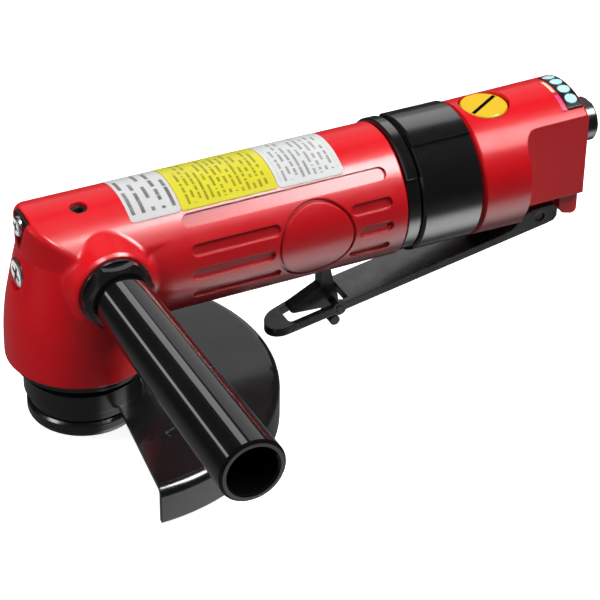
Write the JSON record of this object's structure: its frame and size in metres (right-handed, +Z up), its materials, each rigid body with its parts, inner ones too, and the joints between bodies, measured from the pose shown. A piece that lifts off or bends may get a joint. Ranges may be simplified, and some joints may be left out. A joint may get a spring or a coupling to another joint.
{
  "type": "air angle grinder",
  "caption": "Pneumatic angle grinder with bevel-geared spindle, vane motor, side handle, half-round guard and a sprung throttle lever with lock-off latch.",
  "frame": {"origin": "on the spindle axis at the outer face of the flange nut, where the free spindle thread begins", "axes": "+X along the motor axis from the angle head towards the air inlet, +Z up along the spindle away from the disc, the side handle points along -Y"},
  "size_m": [0.2362, 0.2086, 0.0922],
  "materials": {
    "red_paint": "gloss",
    "black_gloss": "gloss",
    "black_lever": "gloss",
    "black_collar": "satin",
    "black_plate": "matte",
    "zinc": "satin",
    "steel": "satin",
    "cast": "matte",
    "brass": "satin",
    "yellow_disc": "gloss",
    "rubber": "matte",
    "vane": "matte"
  },
  "bodies": {
    "housing": {"front_housing": "red_paint", "handle_housing": "red_paint", "exhaust_collar": "black_collar", "nose_plate": "black_plate", "head_screws": "zinc", "grease_plug": "steel", "bearing_cap": "black_gloss", "upper_bearing": "steel", "lower_bearing": "steel", "motor_cylinder": "cast", "front_plate": "cast", "rear_plate": "cast", "front_rotor_bearing": "steel", "rear_rotor_bearing": "steel", "cylinder_pin": "steel", "lever_pin": "steel", "valve_bush": "brass", "valve_seat": "brass", "valve_spring": "steel", "regulator_clip": "steel", "inlet_bushing": "black_gloss", "inlet_screen": "brass", "side_handle": "black_gloss", "handle_locknut": "black_gloss", "handle_stud": "steel"},
    "exhaust_deflector": {"exhaust_ring": "black_collar"},
    "guard_set": {"guard": "black_gloss", "guard_clamp_screw": "zinc", "guard_clamp_nut": "zinc"},
    "spindle_set": {"spindle": "steel", "gear_key": "steel", "bevel_gear": "steel", "inner_flange": "black_gloss", "flange_nut": "black_gloss"},
    "rotor_set": {"rotor": "steel", "vanes": "vane", "bevel_pinion": "steel"},
    "lever": {"throttle_lever": "black_lever", "latch_pin": "steel", "latch_spring": "steel"},
    "latch": {"lock_latch": "black_lever"},
    "valve": {"valve_stem": "brass"},
    "regulator_set": {"regulator": "yellow_disc", "regulator_oring": "rubber"}
  },
  "joints": [
    {"name": "spindle_spin", "type": "hinge", "parent": "housing", "child": "spindle_set", "pos_m": [0, 0, 0], "axis": [0, 0, 1], "continuous": true},
    {"name": "rotor_spin", "type": "hinge", "parent": "housing", "child": "rotor_set", "pos_m": [0, 0, 0.062], "axis": [1, 0, 0], "continuous": true},
    {"name": "throttle_press", "type": "hinge", "parent": "housing", "child": "lever", "pos_m": [0.1849, 0, 0.0366], "axis": [0, 1, 0], "range_deg": [0, 5], "stiffness_Nm_per_rad": 6, "springref_deg": -3.44},
    {"name": "latch_fold", "type": "hinge", "parent": "lever", "child": "latch", "pos_m": [0.0994, 0, 0.0189], "axis": [0, -1, 0], "range_deg": [0, 51]},
    {"name": "valve_lift", "type": "slide", "parent": "housing", "child": "valve", "axis": [0, 0, 1], "range_m": [0, 0.002], "deforming": ["valve_spring"]},
    {"name": "regulator_turn", "type": "hinge", "parent": "housing", "child": "regulator_set", "pos_m": [0.162, 0, 0.078], "axis": [0, 0, 1], "range_deg": [-90, 90]},
    {"name": "guard_swivel", "type": "hinge", "parent": "housing", "child": "guard_set", "pos_m": [0, 0, 0.014], "axis": [0, 0, 1], "range_deg": [-90, 90]},
    {"name": "exhaust_swivel", "type": "hinge", "parent": "housing", "child": "exhaust_deflector", "pos_m": [0.1214, 0, 0.062], "axis": [1, 0, 0], "continuous": true}
  ],
  "couplings": [
    {"joint": "rotor_spin", "follows": "spindle_spin", "ratio": 2.5},
    {"joint": "latch_fold", "follows": "throttle_press", "ratio": 10},
    {"joint": "valve_lift", "follows": "throttle_press", "m_per_rad": 0.0229}
  ]
}
